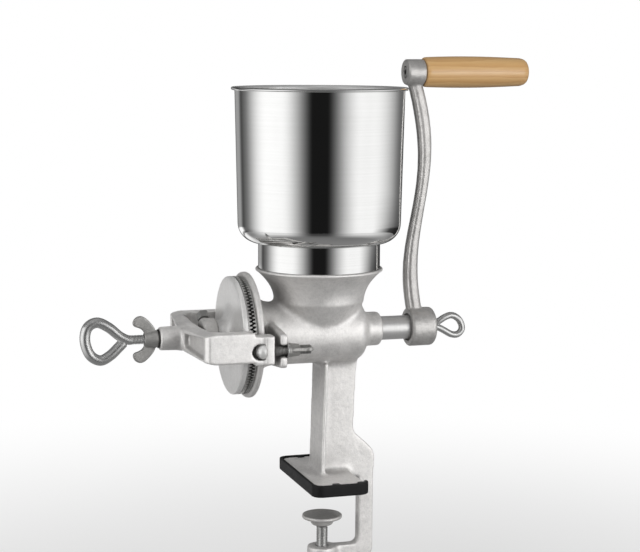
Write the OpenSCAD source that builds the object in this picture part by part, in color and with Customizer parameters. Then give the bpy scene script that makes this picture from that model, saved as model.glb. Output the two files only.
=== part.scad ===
// Hand grain mill: sheet-steel hopper, cast body with a foot and screw clamp,
// a pair of burr plates set by a yoke and screw, and a curved crank with a wooden grip.
// X runs along the grinding shaft toward the crank and Z is up. Z = 0 is the underside of
// the rubber foot, and X = 0 is the hopper's centre line.

/* [Hopper] */
// Outside diameter of the cup just under its rim
hopper_d = 144; // [134:1:150]
// Height of the cup
hopper_h = 131; // [110:1:150]
// How much narrower the cup is at its base
hopper_taper = 5; // [0:0.5:8]
// Radius of the cup's bottom corner
hopper_corner = 17; // [8:0.5:18]
// Sheet thickness of cup and collar
sheet_t = 1; // [0.6:0.1:1.4]
// Width of the rolled rim outside the cup
rim_w = 3; // [1.5:0.1:4]
// Outside diameter of the collar under the cup
collar_d = 104; // [100:0.5:106]
// Height of collar that shows above the casting
collar_show = 22; // [18:0.5:32]

/* [Body] */
// Shaft axis above the underside of the rubber foot
axis_z = 132; // [126:1:140]
// Outside radius of the barrel round the auger
barrel_r = 27; // [26.5:0.25:29]
// Thickness of the casting walls
wall_t = 4; // [3.5:0.1:4.5]
// Radius of the funnel at its throat
throat_r = 38.5; // [37:0.25:40]
// Throat of the funnel above the shaft axis
throat_h = 27; // [24:0.5:30]
// Hopper ledge above the shaft axis
seat_h = 53; // [48:0.5:58]
// Depth of the hopper seat
seat_depth = 2.5; // [2:0.1:2.8]
// Crank end of the barrel
barrel_end = 39.5; // [38:0.5:44]
// Length of the bearing boss beyond the barrel
boss_len = 15; // [10:0.5:18]

/* [Leg and clamp] */
// Width of the leg's front plate
leg_w = 37; // [28:0.5:42]
// Thickness of the leg's front plate
leg_t = 3.5; // [3:0.1:5]
// Thickness of the leg's web and clamp frame
web_t = 10; // [8:0.5:12]
// Width of the foot across the leg
foot_w = 112; // [90:1:120]
// Thickness of the cast foot plate
foot_t = 6; // [5:0.25:7]
// Rubber under and round the foot
rubber_t = 3; // [2.5:0.1:4]
// Clear height of the clamp frame below the foot
frame_open = 58; // [52:1:66]
// Gap between foot and clamp pad as drawn
jaw_gap = 30; // [14:1:38]

/* [Burr plates] */
// Diameter of the burr plates
burr_d = 100; // [94:1:102]
// Number of teeth round each plate
burr_teeth = 96; // [60:1:110]
// Depth of the teeth
tooth_h = 2.2; // [1.5:0.1:2.6]
// Gap between the plates when set fine
burr_gap = 0.6; // [0.4:0.1:1.2]
// Turns of the auger flight
auger_turns = 2.5; // [2:0.25:3]

/* [Yoke] */
// Height of the yoke's bars
yoke_h = 25; // [22:0.5:28]
// Thickness of the yoke's side arms
arm_t = 13; // [12:0.25:14]
// Distance of the yoke's cross bar from the burr plates
yoke_reach = 28; // [28:0.2:34]
// How far the yoke's bolts lie below the shaft axis
bolt_drop = 3.5; // [0:0.25:4]

/* [Crank] */
// Distance from shaft axis to grip axis
crank_len = 221; // [220:1:240]
// Sideways sway of the curved arm
crank_sway = 5.3; // [0:0.1:6]
// Width of the arm
crank_w = 13.5; // [11:0.25:15]
// Diameter of the shaft that carries the crank
shaft_d = 20.6; // [19:0.1:20.8]
// Length of the wooden grip
grip_len = 95; // [80:1:115]
// Largest diameter of the grip
grip_d = 27; // [24:0.25:31]

/* [Hidden] */
$fn = 64;

// running clearance of turning and screwed parts, and clearance of loose ones
run = 0.05;
loose = 0.4;

// stack of flange and plates along the shaft, from the body outward
flange_x1 = -62.2;
flange_x0 = flange_x1 - 5.5;
plate_t = 3.4;
fixed_tip = flange_x0 - plate_t;
moving_tip = fixed_tip - burr_gap;
carrier_x1 = moving_tip - plate_t;
carrier_x0 = carrier_x1 - 4.4;
burr_r = burr_d / 2;
flange_r = burr_r + 3.5;
burr_eye = 24;
web_eye = 33;
screw_circle = 28.5;

// auger and shaft stations
shaft_r = shaft_d / 2;
bore_r = barrel_r - wall_t;
core_r = 10.5;
stem_r = 8;
nose_r = 7;
bore_end = barrel_end - 8;
boss_end = barrel_end + boss_len;
boss_r = shaft_r + 4.4;
hub_x0 = 81;
hub_x1 = 104;
hub_r = 16.8;
socket_x = hub_x0 + 2.5;
square_w = 12;
square_end = hub_x1 - 6;
stem_end = carrier_x0 - 12;
collar_x0 = stem_end - 12.5;
nose_end = collar_x0 + 3;
ball_r = 4;
ball_x = nose_end + 3 - ball_r;
screw_tip = ball_x - ball_r;
// direction of the set screw round the shaft
set_angle = 50;

// yoke stations
cross_x1 = carrier_x0 - yoke_reach;
cross_x0 = cross_x1 - 14.4;
boss_show = 18;
boss_root = 12;
boss_x0 = cross_x0 - boss_show;
yoke_in = flange_r + 0.5;
yoke_out = yoke_in + arm_t;
pocket_r = 7.4;
head_r = 6.6;
head_rim = 1.5;
head_dome = 6;
bolt_y = yoke_in + pocket_r + 1.2;
bolt_z = axis_z - bolt_drop;
wall_x0 = flange_x0 + 2;
wall_x1 = wall_x0 + 7.5;
pocket_len = 5;
end_len = 9;
end_step = 3;
end_out = 1.3;
waist = 2;
bar_slope = 12;
trough = 5;
rib_t = 2;
lug_x0 = wall_x1 + 4.3;
lug_x1 = lug_x0 + 6.3;
lug_h = 30;
bolt_r = 4;
washer_t = 1.6;
washer_r = 6.8;
adj_r = 4;
stud_show = 21;

// wing nuts: hub radius, height of the hub, span and reach of the wings
lock_hub_r = 7;
lock_rise = 11.5;
lock_span = 39;
lock_reach = 24;
nut_hub_r = 6;
nut_rise = 9.5;
nut_span = 32;
nut_reach = 18;
wing_t = 3;

// rod eyes: length and width of the loop, and plain rod before it
adj_eye = 39;
adj_show = 27;
crank_eye_len = 26;
crank_eye_w = 23;
crank_eye_rod = 2.9;
clamp_eye = 42;
clamp_show = 34;

// hopper and its seat
collar_r = collar_d / 2;
seat_r = collar_r + loose;
rim_r = seat_r + 1.7;
ledge_w = 4.5;
lip_h = 1.8;
ledge_z = axis_z + seat_h;
seat_top = ledge_z + seat_depth;
cup_z = seat_top + collar_show;
cup_top = cup_z + hopper_h;
cup_r = hopper_d / 2;
base_r = cup_r - hopper_taper / 2;
corner_r = min(hopper_corner, base_r - collar_r - 1);

// leg, foot and clamp
foot_x0 = -17.5;
foot_x1 = 26.2;
foot_top = rubber_t + foot_t;
bed_y = foot_w / 2 - rubber_t;
spine_x0 = 36;
spine_x1 = 49.5;
web_x = 31.5;
web_x0 = 2;
leg_lean = 1.6;
leg_shift = -1.2;
clamp_x = 4;
clamp_r = 5;
pad_h = 9;
tip_r = 3.6;
tip_deep = 4;
arm_h = 18;

// grip stations
grip_z = axis_z + crank_len;
eye_x0 = 76.4;
eye_x1 = 93;
arm_top = eye_x1 - 9.6;
head_deep = 5;
eye_r = 11;
pin_r = 3.5;

// points of an arc in the plane, with its centre, radius and angles
function arc(c, r, a0, a1, n) = [for (i = [0:n])
    [c[0] + r * cos(a0 + (a1 - a0) * i / n), c[1] + r * sin(a0 + (a1 - a0) * i / n)]];

// corners of a rectangle with rounded corners
function round_rect(x0, y0, x1, y1, r) = concat(
    arc([x1 - r, y1 - r], r, 0, 90, 5), arc([x0 + r, y1 - r], r, 90, 180, 5),
    arc([x0 + r, y0 + r], r, 180, 270, 5), arc([x1 - r, y0 + r], r, 270, 360, 5));

// side faces of a stack of rings with m points each, capped or joined end to end
function skin(rings, m, loop) = concat(
    [for (i = [0:rings - (loop ? 1 : 2)]) for (j = [0:m - 1])
        let (a = i * m + j, b = i * m + (j + 1) % m, k = (i + 1) % rings * m)
        each [[a, k + (j + 1) % m, b], [a, k + j, k + (j + 1) % m]]],
    loop ? [] : [[for (j = [0:m - 1]) j], [for (j = [m - 1:-1:0]) (rings - 1) * m + j]]);

// turns a shape drawn up the Z axis to lie along the shaft
module on_shaft() {
    translate([0, 0, axis_z]) rotate([0, 90, 0]) children();
}

// a plain round bar along the shaft between two stations
module bar(r, x0, x1) {
    on_shaft() translate([0, 0, x0]) cylinder(r = r, h = x1 - x0);
}

// closed loop of round rod shaped like a drop, in the XZ plane, its point at the origin
// and its far side at -X
module rod_eye(length, width, rod_r) {
    n = 40;
    m = 10;
    big = width / 2 - rod_r;
    cx = -(length - width / 2);
    tip = rod_r * 1.3;
    // path: small arc at the point, straight legs, large arc
    lean = asin((big - tip) / (-cx - tip));
    path = concat(arc([-tip, 0], tip, -(90 - lean), 90 - lean, 7),
        arc([cx, 0], big, 90 - lean, 270 + lean, n - 9));
    count = len(path);
    pts = [for (i = [0:count - 1])
        let (p = path[i], q = path[(i + 1) % count], o = path[(i + count - 1) % count],
            t = (q - o) / norm(q - o), s = [-t[1], t[0]])
        each [for (j = [0:m - 1])
            let (a = -360 * j / m, u = rod_r * cos(a), v = rod_r * sin(a))
            [p[0] + s[0] * u, v, p[1] + s[1] * u]]];
    polyhedron(points = pts, faces = skin(count, m, true), convexity = 6);
}

// wing nut seated on x = 0 and rising along +X, wings in the XZ plane
module wing_nut(r_bore, r_hub, rise, span, reach) {
    ear = span * 0.13;
    difference() {
        union() {
            rotate([0, 90, 0]) cylinder(r1 = r_hub, r2 = r_hub * 0.8, h = rise);
            for (side = [0, 180])
                rotate([side, 0, 0])
                    translate([0, wing_t / 2, 0])
                        rotate([90, 0, 0])
                            linear_extrude(height = wing_t)
                                polygon(concat([[rise * 0.15, r_hub * 0.55], [rise * 0.3, r_hub * 1.1]],
                                    arc([reach - ear, span / 2 - ear], ear, 140, -40, 8),
                                    [[rise * 1.3, r_hub * 0.9], [rise * 0.95, r_hub * 0.5]]));
        }
        translate([-1, 0, 0]) rotate([0, 90, 0]) cylinder(r = r_bore, h = rise + 2);
    }
}

module flat_washer(r_in, r_out, t) {
    rotate([0, 90, 0])
        rotate_extrude()
            translate([r_in, 0])
                square([r_out - r_in, t]);
}

// ring of radial teeth with their tips on +X and their back at x = 0
module tooth_ring(r_in, r_out, thick, depth, phase) {
    steps = [[0, 1], [0.42, 1], [0.78, 0]];
    count = burr_teeth * len(steps);
    pts = [for (i = [0:burr_teeth - 1]) for (s = steps)
        let (a = 360 * (i + s[0] + phase) / burr_teeth, x = thick - depth * (1 - s[1]))
        each [for (p = [[r_in, x], [r_out, x], [r_out, 0], [r_in, 0]])
            [p[1], p[0] * cos(a), p[0] * sin(a)]]];
    polyhedron(points = pts, faces = skin(count, 4, true), convexity = 8);
}

// burr plate: toothed ring round a plain web with three countersunk holes
module burr_plate(phase) {
    difference() {
        union() {
            tooth_ring(web_eye, burr_r, plate_t, tooth_h, phase);
            rotate([0, 90, 0])
                rotate_extrude()
                    translate([burr_eye, 0])
                        square([web_eye + 1.5 - burr_eye, plate_t - tooth_h]);
        }
        for (k = [0:2])
            rotate([120 * k + 90, 0, 0])
                translate([-1, 0, screw_circle]) rotate([0, 90, 0]) cylinder(r = 2.2, h = plate_t + 2);
    }
}

// three low-headed screws with heads on the web of a burr plate
module plate_screws(length) {
    for (k = [0:2])
        rotate([120 * k + 90, 0, 0])
            translate([plate_t - tooth_h, 0, screw_circle])
                rotate([0, 90, 0])
                    union() {
                        translate([0, 0, -length]) cylinder(r = 2, h = length);
                        difference() {
                            cylinder(r1 = 3.6, r2 = 3, h = 1.4);
                            translate([-5, -0.5, 0.7]) cube([10, 1, 2]);
                        }
                    }
}

// outside of the barrel, its flange and the bearing boss, turned about the shaft
module barrel_skin() {
    round_r = barrel_r - boss_r - 0.2;
    neck_r = flange_r - 7 - barrel_r;
    on_shaft()
        rotate_extrude()
            polygon(concat(
                [[0, flange_x0], [flange_r - 0.8, flange_x0], [flange_r, flange_x0 + 0.8],
                    [flange_r, flange_x1 - 0.8], [flange_r - 0.8, flange_x1], [flange_r - 7, flange_x1]],
                arc([flange_r - 7, flange_x1 + neck_r], neck_r, 270, 180, 6),
                arc([barrel_r - round_r, barrel_end - round_r], round_r, 0, 90, 6),
                [[boss_r, barrel_end], [boss_r, boss_end - 1.5], [boss_r - 1.5, boss_end], [0, boss_end]]));
}

// flared funnel from the barrel up to the hopper seat, turned about the hopper's centre line
module funnel_skin() {
    z0 = axis_z + throat_h;
    z1 = seat_top - lip_h;
    rotate_extrude()
        polygon(concat([[0, axis_z + 2], [throat_r - 16, axis_z + 2]],
            [for (i = [0:9])
                let (u = i / 9)
                [throat_r + (rim_r - throat_r) * u * u, z0 + (z1 - z0) * u]],
            [[rim_r + 0.3, z1 + 0.5], [rim_r + 0.3, seat_top - 0.5]],
            [[rim_r - 0.3, seat_top], [0, seat_top]]));
}

// inside of the funnel: the hopper seat, its ledge and the way down to the auger
module funnel_hollow() {
    z0 = axis_z + throat_h;
    in_r = throat_r - wall_t;
    rotate_extrude()
        polygon(concat([[0, axis_z], [throat_r - 20, axis_z]],
            [for (i = [0:7])
                let (u = i / 7)
                [in_r + (seat_r - ledge_w - in_r) * u * u, z0 + (ledge_z - z0) * u]],
            [[seat_r, ledge_z], [seat_r, seat_top + 1], [0, seat_top + 1]]));
}

// web of the leg, and the clamp frame that hangs from it
module web_outline() {
    low = -frame_open;
    polygon(concat(
        [[web_x0, axis_z - bore_r + 2], [web_x + 3, axis_z - bore_r + 2], [web_x + 3, axis_z - 24],
            [web_x + 1.7, axis_z - 31], [web_x + 1, axis_z - 40]],
        [[web_x - 0.9, 46], [web_x + 0.8, 41.5], [spine_x1 - 5, 30.5], [spine_x1 - 0.6, 25.5],
            [spine_x1 + 1, 20], [spine_x1, 0]],
        arc([spine_x1 - 14, low - arm_h + 14], 14, 0, -90, 5),
        [[clamp_x, low - arm_h]],
        [[clamp_x, low]],
        arc([spine_x0 - 6, low + 6], 6, -90, 0, 4),
        [[spine_x0, rubber_t - 0.5], [spine_x0 - 2, rubber_t], [web_x0, rubber_t]]));
}

// side lug with an open slot that takes a yoke bolt
module fork_lug() {
    slot_r = bolt_r + 0.6;
    difference() {
        translate([lug_x0, 0, bolt_z])
            rotate([90, 0, 90])
                linear_extrude(height = lug_x1 - lug_x0)
                    polygon(concat([[0, -lug_h / 2 - 3], [barrel_r, -lug_h / 2 - 3]],
                        [[yoke_out - 8, -lug_h / 2], [yoke_out, -lug_h / 2 + 1]],
                        [[yoke_out + 1, -lug_h / 2 + 3], [yoke_out + 1, lug_h / 2 - 3]],
                        [[yoke_out, lug_h / 2 - 1], [yoke_out - 8, lug_h / 2]],
                        [[barrel_r, lug_h / 2 + 3], [0, lug_h / 2 + 3]]));
        translate([lug_x0 - 1, bolt_y, bolt_z - slot_r])
            cube([lug_x1 - lug_x0 + 2, yoke_out, 2 * slot_r]);
        translate([lug_x0 - 1, bolt_y, bolt_z])
            rotate([0, 90, 0])
                cylinder(r = slot_r, h = lug_x1 - lug_x0 + 2);
    }
}

module mill_body() {
    color([0.72, 0.72, 0.71])
        difference() {
            union() {
                barrel_skin();
                funnel_skin();
                fork_lug();
                mirror([0, 1, 0]) fork_lug();
                translate([0, web_t / 2, 0])
                    rotate([90, 0, 0]) linear_extrude(height = web_t) web_outline();
                // front plate of the leg with its flared foot, leaning toward the crank
                translate([leg_shift - leg_t / 2, 0, 0])
                    rotate([0, leg_lean, 0])
                        rotate([90, 0, 90])
                            linear_extrude(height = leg_t)
                                polygon([[-leg_w / 2, axis_z - bore_r - 2], [-leg_w / 2, foot_top + 9],
                                    [-leg_w / 2 - 2.5, foot_top + 3], [-leg_w / 2 - 6, rubber_t + 1],
                                    [leg_w / 2 + 6, rubber_t + 1], [leg_w / 2 + 2.5, foot_top + 3],
                                    [leg_w / 2, foot_top + 9], [leg_w / 2, axis_z - bore_r - 2]]);
                // foot plate
                translate([0, 0, rubber_t])
                    linear_extrude(height = foot_t)
                        polygon(round_rect(foot_x0, -bed_y, foot_x1, bed_y, 6));
                // boss of the clamp screw
                translate([clamp_x, 0, -frame_open - arm_h - 2]) cylinder(r = 13, h = arm_h + 2);
            }
            bar(bore_r, flange_x0 - 1, bore_end);
            bar(shaft_r + run, bore_end - 1, boss_end + 1);
            funnel_hollow();
            translate([clamp_x, 0, -frame_open - arm_h - 3]) cylinder(r = clamp_r + run, h = arm_h + 4);
            // tapped holes of the fixed burr
            for (k = [0:2])
                translate([0, 0, axis_z])
                    rotate([120 * k + 90, 0, 0])
                        translate([flange_x0 - 1, 0, screw_circle])
                            rotate([0, 90, 0])
                                cylinder(r = 2, h = 9);
        }
}

module rubber_foot() {
    half = foot_w / 2;
    color([0.06, 0.06, 0.06])
        difference() {
            linear_extrude(height = foot_top + 1.2)
                polygon(round_rect(foot_x0 - rubber_t, -half, foot_x1 + rubber_t, half, 8));
            // bed of the foot plate
            translate([0, 0, rubber_t])
                linear_extrude(height = foot_t)
                    polygon(round_rect(foot_x0, -bed_y, foot_x1, bed_y, 6));
            // open top, with lips left at the four clips
            translate([0, 0, foot_top - 1])
                linear_extrude(height = 5)
                    difference() {
                        polygon(round_rect(foot_x0, -bed_y, foot_x1, bed_y, 6));
                        for (side = [-1, 1])
                            for (x = [0, foot_x1 - 3.5])
                                translate([x - 3.5, side * (bed_y - 1) - 3])
                                    square([7, 6]);
                    }
            // open end toward the clamp frame
            translate([foot_x1, -bed_y + 7, -1])
                cube([rubber_t + 1, 2 * (bed_y - 7), foot_top + 5]);
        }
}

module hopper_cup() {
    t = sheet_t;
    z = cup_z;
    color([0.82, 0.83, 0.84])
        rotate_extrude($fn = 128)
            union() {
                polygon(concat(
                    [[collar_r - t - 1, z + t], [collar_r - t - 1, z]],
                    arc([base_r - corner_r, z + corner_r], corner_r, 270, 360, 10),
                    [[cup_r, cup_top - 2], [cup_r + rim_w - 1.2, cup_top - 1.6]],
                    [[cup_r + rim_w - 1.2, cup_top - 0.6], [cup_r - t, cup_top - 0.6]],
                    arc([base_r - corner_r, z + corner_r], corner_r - t, 360, 270, 10)));
                translate([cup_r + rim_w - 1.3, cup_top - 1.3]) circle(r = 1.3);
            }
}

module hopper_collar() {
    color([0.85, 0.86, 0.87])
        translate([0, 0, ledge_z])
            rotate_extrude($fn = 128)
                translate([collar_r - sheet_t, 0])
                    square([sheet_t, cup_z - ledge_z]);
}

module fixed_burr() {
    color([0.6, 0.6, 0.59])
        translate([flange_x0, 0, axis_z]) mirror([1, 0, 0]) burr_plate(0);
}

module fixed_burr_screws() {
    color([0.3, 0.3, 0.3])
        translate([flange_x0, 0, axis_z]) mirror([1, 0, 0]) plate_screws(8);
}

module moving_burr() {
    color([0.58, 0.58, 0.57])
        translate([carrier_x1, 0, axis_z]) burr_plate(0.5);
}

module moving_burr_screws() {
    color([0.3, 0.3, 0.3])
        translate([carrier_x1, 0, axis_z]) plate_screws(4.6);
}

// auger: turned shaft with a helical flight that feeds toward the burrs
module auger() {
    n = 24;
    x0 = flange_x0 + 3;
    x1 = bore_end - 3;
    count = ceil(auger_turns * n);
    tip_r = bore_r - 0.8;
    pts = [for (i = [0:count])
        let (u = i / count, a = -360 * auger_turns * u, x = x0 + 3 + (x1 - x0 - 6) * u)
        each [for (p = [[core_r - 2, -3], [tip_r, -1.5], [tip_r, 1.5], [core_r - 2, 3]])
            [x + p[1], p[0] * cos(a), p[0] * sin(a)]]];
    color([0.66, 0.66, 0.65])
        difference() {
            union() {
                on_shaft()
                    rotate_extrude()
                        polygon([[0, nose_end], [nose_r, nose_end], [nose_r, stem_end], [stem_r, stem_end],
                            [stem_r, carrier_x1], [core_r, carrier_x1 + 6], [core_r, bore_end - 1],
                            [shaft_r, bore_end - 1], [shaft_r, socket_x], [0, socket_x]]);
                translate([0, 0, axis_z])
                    polyhedron(points = pts, faces = skin(count + 1, 4, false), convexity = 8);
                translate([socket_x - 1, -square_w / 2, axis_z - square_w / 2])
                    cube([square_end - socket_x + 1, square_w, square_w]);
            }
            // seat of the thrust ball, and tapped hole of the crank screw
            bar(ball_r + loose, nose_end - 1, nose_end + 3);
            bar(3 + run, square_end - 12, square_end + 1);
        }
}

module burr_carrier() {
    color([0.74, 0.74, 0.73])
        difference() {
            on_shaft()
                rotate_extrude($fn = 96)
                    polygon(concat([[stem_r + run, carrier_x1], [burr_r, carrier_x1]],
                        [[burr_r, carrier_x0 + 0.7], [burr_r - 0.7, carrier_x0]],
                        [for (i = [0:7])
                            let (a = 90 * i / 7)
                            [13 + 17 * (1 - sin(a)), carrier_x0 - 10 * (1 - cos(a))]],
                        [[13, stem_end + 0.5], [12.5, stem_end], [stem_r + run, stem_end]]));
            for (k = [0:2])
                translate([0, 0, axis_z])
                    rotate([120 * k + 90, 0, 0])
                        translate([carrier_x1 - 4, 0, screw_circle])
                            rotate([0, 90, 0]) cylinder(r = 2 + run, h = 5);
        }
}

module drive_collar() {
    color([0.7, 0.7, 0.69])
        difference() {
            on_shaft()
                rotate_extrude()
                    polygon([[nose_r + run, collar_x0], [13.8, collar_x0], [15.5, collar_x0 + 1.7],
                        [15.5, stem_end - 1.2], [14.5, stem_end], [nose_r + run, stem_end]]);
            translate([(collar_x0 + stem_end) / 2, 0, axis_z])
                rotate([-set_angle, 0, 0]) cylinder(r = 3.05, h = 30);
        }
}

module set_screw() {
    color([0.12, 0.12, 0.12])
        translate([(collar_x0 + stem_end) / 2, 0, axis_z])
            rotate([-set_angle, 0, 0])
                union() {
                    translate([0, 0, nose_r]) cylinder(r = 3, h = 12.5);
                    translate([0, 0, nose_r + 11.5]) cylinder(r = 5.8, h = 6.5, $fn = 6);
                }
}

module thrust_ball() {
    color([0.8, 0.8, 0.8])
        translate([ball_x, 0, axis_z]) sphere(r = ball_r);
}

module adjusting_screw() {
    color([0.7, 0.7, 0.7])
        union() {
            bar(adj_r, boss_x0 - adj_show - 4, screw_tip);
            translate([boss_x0 - adj_show, 0, axis_z]) rod_eye(adj_eye, adj_eye, adj_r);
        }
}

module lock_washer() {
    color([0.15, 0.15, 0.15])
        translate([boss_x0 - 1.2, 0, axis_z]) flat_washer(adj_r + loose, 8, 1.2);
}

module lock_nut() {
    color([0.45, 0.45, 0.45])
        translate([boss_x0 - 1.2, 0, axis_z])
            mirror([1, 0, 0])
                wing_nut(adj_r + run, lock_hub_r, lock_rise, lock_span, lock_reach);
}

// outline of the yoke seen from above
module yoke_plan() {
    polygon([[cross_x0, -boss_root], [cross_x0 + 6, -yoke_out + 3], [cross_x0 + 9, -yoke_out],
        [wall_x1, -yoke_out], [wall_x1, -yoke_in], [cross_x1 + 8, -yoke_in],
        [cross_x1, -yoke_in + 8], [cross_x1, yoke_in - 8], [cross_x1 + 8, yoke_in],
        [wall_x1, yoke_in], [wall_x1, yoke_out], [cross_x0 + 9, yoke_out],
        [cross_x0 + 6, yoke_out - 3], [cross_x0, boss_root]]);
}

// outline of the yoke seen along the shaft, lower at the boss than at the arms
module yoke_front() {
    half = yoke_h / 2;
    polygon([[-yoke_out - 1, -half], [-yoke_in, -half], [-boss_root, waist - half], [boss_root, waist - half],
        [yoke_in, -half], [yoke_out + 1, -half], [yoke_out + 1, half], [yoke_in, half],
        [boss_root, half - waist], [-boss_root, half - waist], [-yoke_in, half], [-yoke_out - 1, half]]);
}

// cross bar and arms: the bar falls away outward, with a trough between its two ribs
module yoke_bars() {
    half = yoke_h / 2;
    bar_w = cross_x1 - cross_x0;
    low = half - bar_w * tan(bar_slope) - waist - rib_t;
    high = half - bar_w / 2 * tan(bar_slope) - rib_t;
    sweep = atan2(6, yoke_out - 3 - boss_root);
    reach = yoke_out - boss_root - 7;
    difference() {
        intersection() {
            translate([0, 0, axis_z - half - 1]) linear_extrude(height = yoke_h + 2) yoke_plan();
            translate([cross_x0 - 1, 0, axis_z])
                rotate([90, 0, 90]) linear_extrude(height = wall_x1 - cross_x0 + 2) yoke_front();
        }
        for (up = [0, 1])
            translate([cross_x1, 0, axis_z])
                mirror([0, 0, up])
                    translate([0, -yoke_out - 1, half])
                        rotate([0, -bar_slope, 0])
                            translate([-2 * bar_w, 0, 0])
                                cube([2 * bar_w, 2 * yoke_out + 2, half]);
        for (side = [0, 1])
            mirror([0, side, 0])
                translate([cross_x0, -boss_root, axis_z])
                    rotate([0, 0, sweep])
                        translate([-bar_w, 0, 0])
                            rotate([90, 0, 90])
                                linear_extrude(height = bar_w + trough)
                                    polygon([[-2, -low], [-reach, -high], [-reach, high], [-2, low]]);
    }
}

// adjusting yoke: cross bar with a tapped boss, and two arms that reach back past the burrs
module yoke() {
    half = yoke_h / 2;
    end_x0 = wall_x0 - end_len;
    color([0.76, 0.76, 0.75])
        difference() {
            union() {
                yoke_bars();
                on_shaft()
                    rotate_extrude()
                        polygon([[0, boss_x0], [9, boss_x0], [9.8, boss_x0 + 0.8], [10.3, cross_x0 - 3],
                            [11, cross_x0 + 0.5], [11, cross_x0 + 3], [0, cross_x0 + 3]]);
                // lower end of each arm, under its bolt
                for (side = [0, 1])
                    mirror([0, side, 0])
                        translate([end_x0, yoke_in + 0.4, axis_z - half - 2])
                            cube([wall_x1 - 0.4 - end_x0, arm_t - 0.8, 5]);
                // end block that stands out over the bolt
                for (side = [0, 1])
                    mirror([0, side, 0])
                        translate([wall_x0, yoke_in + arm_t / 2, axis_z - half - 1.6])
                            cube([wall_x1 - 0.8 - wall_x0, arm_t / 2 + end_out, yoke_h - 1]);
            }
            for (side = [-1, 1]) {
                // step down to the end of the arm
                translate([end_x0, side * (yoke_in + arm_t / 2) - arm_t / 2 - 2, axis_z + half - end_step])
                    cube([wall_x1 - end_x0 + 1, arm_t + 4, end_step + 1]);
                // hollow of the bolt head, and its hole
                translate([wall_x0, side * bolt_y, bolt_z])
                    rotate([0, 90, 0])
                        rotate_extrude()
                            polygon(concat([[0, 0], [pocket_r, 0]],
                                arc([0, -pocket_len], pocket_r, 0, -90, 8)));
                translate([wall_x0 - 1, side * bolt_y, bolt_z])
                    rotate([0, 90, 0])
                        cylinder(r = bolt_r + 0.2, h = 12);
            }
            bar(adj_r + run, boss_x0 - 1, cross_x1 + 1);
        }
}

// round-headed bolts that hold the yoke's arms to the body's lugs
module yoke_bolts() {
    color([0.6, 0.6, 0.6])
        for (side = [-1, 1])
            translate([wall_x0, side * bolt_y, bolt_z])
                rotate([0, 90, 0])
                    union() {
                        translate([0, 0, -1]) cylinder(r = bolt_r, h = lug_x1 + stud_show - wall_x0 + 1);
                        rotate_extrude()
                            polygon(concat([[0, 0], [head_r, 0], [head_r, -head_rim]],
                                [for (i = [1:6])
                                    [head_r * cos(15 * i), -head_rim - head_dome * sin(15 * i)]]));
                    }
}

module front_washer() {
    color([0.66, 0.66, 0.66])
        translate([lug_x1, -bolt_y, bolt_z]) flat_washer(bolt_r + loose, washer_r, washer_t);
}

module rear_washer() {
    color([0.66, 0.66, 0.66])
        translate([lug_x1, bolt_y, bolt_z]) flat_washer(bolt_r + loose, washer_r, washer_t);
}

module front_wing_nut() {
    color([0.5, 0.5, 0.5])
        translate([lug_x1 + washer_t, -bolt_y, bolt_z])
            rotate([80, 0, 0]) wing_nut(bolt_r + run, nut_hub_r, nut_rise, nut_span, nut_reach);
}

module rear_wing_nut() {
    color([0.5, 0.5, 0.5])
        translate([lug_x1 + washer_t, bolt_y, bolt_z])
            rotate([75, 0, 0]) wing_nut(bolt_r + run, nut_hub_r, nut_rise, nut_span, nut_reach);
}

// crank: two bored hubs joined by an arm that sways along its length, ridged in section
module crank_arm() {
    n = 30;
    hub_mid = (hub_x0 + hub_x1) / 2;
    s0 = 5;
    s1 = crank_len - 4;
    half_section = [[-0.5, -0.22], [-0.32, -0.45], [-0.2, -0.35], [-0.08, -0.5], [0.3, -0.45], [0.5, -0.22]];
    pts = [for (i = [0:n])
        let (u = i / n, s = s0 + (s1 - s0) * u,
            lean = 4.2 * u - 3.2, sway = crank_sway * (1.6 - 1.13 * u) * sin(360 * u),
            x = hub_mid + lean - sway + (arm_top - hub_mid - 1) * pow(u, 6),
            w = crank_w * (1 - 0.25 * pow(sin(180 * u), 3) - 0.1 * pow(u, 6)), t = 10 - 1.5 * u)
        each [for (p = concat(half_section, [for (q = half_section) [-q[0], -q[1]]]))
            [x + p[0] * w, p[1] * t, axis_z + s]]];
    color([0.7, 0.7, 0.69])
        difference() {
            union() {
                polyhedron(points = pts, faces = skin(n + 1, 2 * len(half_section), false), convexity = 6);
                on_shaft()
                    rotate_extrude()
                        polygon(concat([[0, hub_x0], [hub_r - 1.2, hub_x0], [hub_r, hub_x0 + 1.2]],
                            arc([hub_r - 3.5, hub_x1 - 3.5], 3.5, 0, 90, 4), [[0, hub_x1]]));
                translate([0, 0, crank_len]) on_shaft()
                    rotate_extrude()
                        polygon([[0, eye_x0], [eye_r - 0.8, eye_x0], [eye_r, eye_x0 + 0.8],
                            [eye_r, eye_x1 - 0.8], [eye_r - 0.8, eye_x1], [0, eye_x1]]);
            }
            bar(shaft_r + 1.6, hub_x0 - 1, socket_x);
            translate([socket_x - 1, -square_w / 2 - run, axis_z - square_w / 2 - run])
                cube([square_end + 1 - socket_x + 1, square_w + 2 * run, square_w + 2 * run]);
            bar(3 + loose, hub_x0, hub_x1 + 1);
            translate([0, 0, crank_len]) bar(pin_r + 0.05, eye_x0 - 1, eye_x1 + 1);
            translate([0, 0, crank_len]) bar(5.2, eye_x0 - 1, eye_x0 + head_deep);
        }
}

module crank_screw() {
    color([0.7, 0.7, 0.7])
        union() {
            bar(3, square_end - 11, hub_x1 + 5);
            bar(5.2, hub_x1, hub_x1 + 1.8);
            translate([hub_x1 + 4.9, 0, axis_z])
                mirror([1, 0, 0]) rod_eye(crank_eye_len, crank_eye_w, crank_eye_rod);
        }
}

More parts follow.
